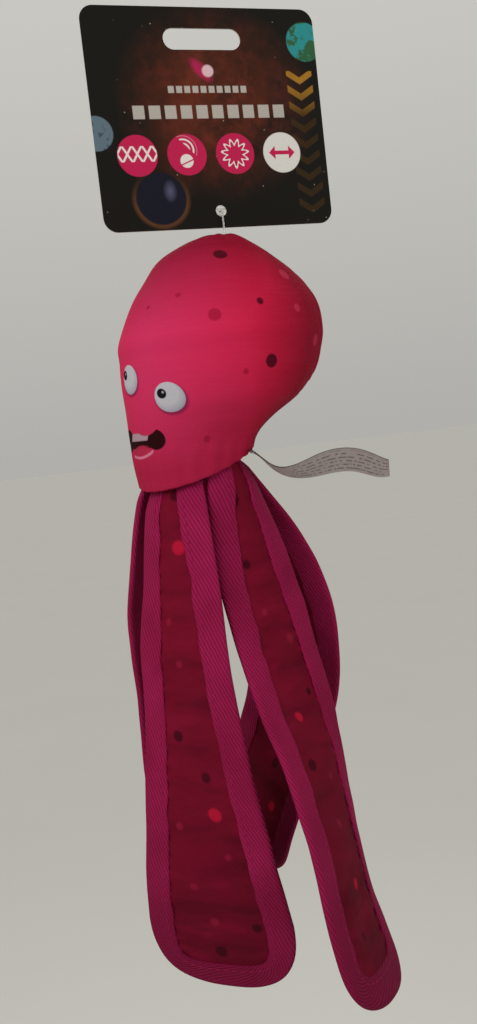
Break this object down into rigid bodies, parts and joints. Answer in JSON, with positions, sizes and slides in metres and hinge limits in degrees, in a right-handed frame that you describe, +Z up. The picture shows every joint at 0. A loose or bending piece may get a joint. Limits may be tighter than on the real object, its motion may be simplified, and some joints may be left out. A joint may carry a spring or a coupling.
{
  "type": "octopus plush toy",
  "caption": "Soft octopus pet toy with a stuffed head, squeaker, flat crackle tentacles edged in tape and a care label, hanging from a retail card by a tag pin.",
  "frame": {"origin": "centre of the card's hang slot, in the middle of the card's thickness", "axes": "+Z up along the card, -Y out of the card's printed face, X along the slot"},
  "size_m": [0.1034, 0.1431, 0.3475],
  "materials": {
    "card_print": "laminated paperboard with a soft sheen",
    "clear_nylon": "milky clear nylon",
    "label_white": "woven satin tape",
    "canvas_pink": "printed cotton canvas",
    "canvas_crimson": "printed cotton canvas",
    "twill_tape": "herringbone twill tape",
    "crackle_film": "thin polyester film",
    "fibre_fill": "loose polyester fibre",
    "squeaker_plastic": "soft moulded plastic",
    "reed_plastic": "moulded plastic"
  },
  "bodies": {
    "card": {"hang_card": "card_print"},
    "pin": {"tag_pin": "clear_nylon"},
    "head": {"head_face_panel": "canvas_pink", "head_back_panel": "canvas_crimson", "neck_base_panel": "canvas_crimson", "head_stuffing": "fibre_fill", "squeaker_base": "squeaker_plastic", "squeaker_reed": "reed_plastic", "squeaker_bellows": "squeaker_plastic"},
    "squeaker_top": {"squeaker_cap": "squeaker_plastic"},
    "label": {"care_label": "label_white"},
    "front_tentacle": {"front_tentacle_outer_panel": "canvas_crimson", "front_tentacle_inner_panel": "canvas_crimson", "front_tentacle_crackle_film": "crackle_film", "front_tentacle_edge_binding": "twill_tape"},
    "left_tentacle": {"left_tentacle_outer_panel": "canvas_crimson", "left_tentacle_inner_panel": "canvas_crimson", "left_tentacle_crackle_film": "crackle_film", "left_tentacle_edge_binding": "twill_tape"},
    "back_tentacle": {"back_tentacle_outer_panel": "canvas_crimson", "back_tentacle_inner_panel": "canvas_crimson", "back_tentacle_crackle_film": "crackle_film", "back_tentacle_edge_binding": "twill_tape"},
    "right_tentacle": {"right_tentacle_outer_panel": "canvas_crimson", "right_tentacle_inner_panel": "canvas_crimson", "right_tentacle_crackle_film": "crackle_film", "right_tentacle_edge_binding": "twill_tape"}
  },
  "joints": [
    {"name": "pin_swing", "type": "hinge", "parent": "card", "child": "pin", "pos_m": [0, 0, -0.06], "axis": [1, 0, 0], "range_deg": [-30, 5]},
    {"name": "head_turn", "type": "hinge", "parent": "pin", "child": "head", "pos_m": [0, -0.0013, -0.07], "axis": [0, 0, 1], "range_deg": [-120, 120]},
    {"name": "front_tentacle_lift", "type": "hinge", "parent": "head", "child": "front_tentacle", "pos_m": [-0.03613, -0.01733, -0.15557], "axis": [-0.7071, 0.7071, 0], "range_deg": [0, 60], "stiffness_Nm_per_rad": 0.02},
    {"name": "left_tentacle_lift", "type": "hinge", "parent": "head", "child": "left_tentacle", "pos_m": [-0.00911, -0.01733, -0.14902], "axis": [-0.7071, -0.7071, 0], "range_deg": [0, 60], "stiffness_Nm_per_rad": 0.02},
    {"name": "back_tentacle_lift", "type": "hinge", "parent": "head", "child": "back_tentacle", "pos_m": [-0.00911, 0.00968, -0.14523], "axis": [0.7071, -0.7071, 0], "range_deg": [0, 60], "stiffness_Nm_per_rad": 0.02},
    {"name": "right_tentacle_lift", "type": "hinge", "parent": "head", "child": "right_tentacle", "pos_m": [-0.03613, 0.00968, -0.15178], "axis": [0.7071, 0.7071, 0], "range_deg": [0, 60], "stiffness_Nm_per_rad": 0.02},
    {"name": "label_bend", "type": "hinge", "parent": "head", "child": "label", "pos_m": [-0.00113, -0.01081, -0.14617], "axis": [-0.309, -0.9511, 0], "range_deg": [-20, 20], "stiffness_Nm_per_rad": 0.004},
    {"name": "squeaker_press", "type": "slide", "parent": "head", "child": "squeaker_top", "axis": [0, 0, -1], "range_m": [0, 0.005], "stiffness_N_per_m": 800, "deforming": ["squeaker_bellows"]}
  ]
}
